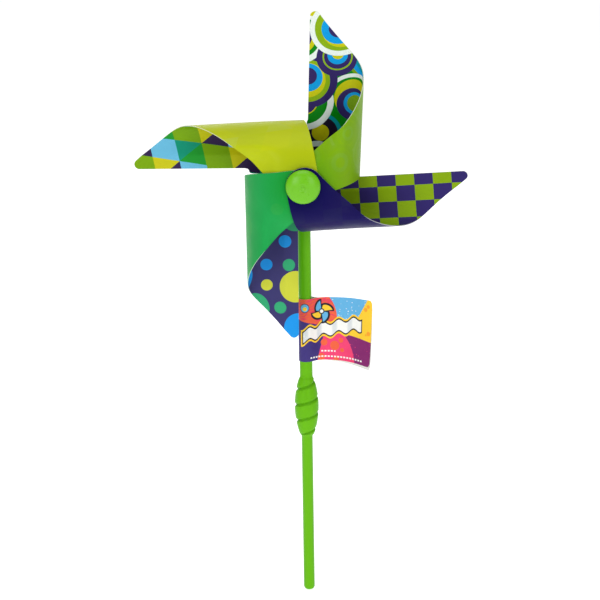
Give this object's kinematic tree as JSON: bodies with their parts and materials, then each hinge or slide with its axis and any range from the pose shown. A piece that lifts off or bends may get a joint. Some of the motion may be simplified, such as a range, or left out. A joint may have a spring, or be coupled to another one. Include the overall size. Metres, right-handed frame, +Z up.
{
  "type": "toy pinwheel",
  "caption": "Toy pinwheel: curled printed plastic blades on an axle pin through the head of a moulded stick with a grip and a folded flag label.",
  "frame": {"origin": "centre of the small flat at the bottom end of the stick", "axes": "+Z up the stick, -Y forward along the axle out of the wheel's front, +X to the right seen from the front"},
  "size_m": [0.2328, 0.072, 0.4323],
  "materials": {
    "stick_plastic": "moulded green plastic, satin to glossy",
    "cap_plastic": "lighter moulded green plastic, glossy",
    "washer_plastic": "plain white plastic",
    "rings_sheet": "thin printed sheet, rings on its front and light green on its back, satin",
    "triangles_sheet": "thin printed sheet, triangles on its front and yellow-green on its back, satin",
    "dots_sheet": "thin printed sheet, dots on its front and green on its back, satin",
    "checker_sheet": "thin printed sheet, a checker on its front and purple on its back, satin",
    "label_paper": "coated printed paper, white on its inside"
  },
  "bodies": {
    "stick": {"stick": "stick_plastic", "flag_label": "label_paper"},
    "wheel": {"axle_pin": "stick_plastic", "front_cap": "cap_plastic", "rear_cap": "cap_plastic", "thrust_washer": "washer_plastic", "rear_flange": "stick_plastic", "hub_spacer": "stick_plastic", "tip_washer": "washer_plastic", "blade_rings": "rings_sheet", "blade_triangles": "triangles_sheet", "blade_dots": "dots_sheet", "blade_checker": "checker_sheet"}
  },
  "joints": [
    {"name": "wheel_spin", "type": "hinge", "parent": "stick", "child": "wheel", "pos_m": [0, 0, 0.316], "axis": [0, -1, 0], "continuous": true}
  ]
}
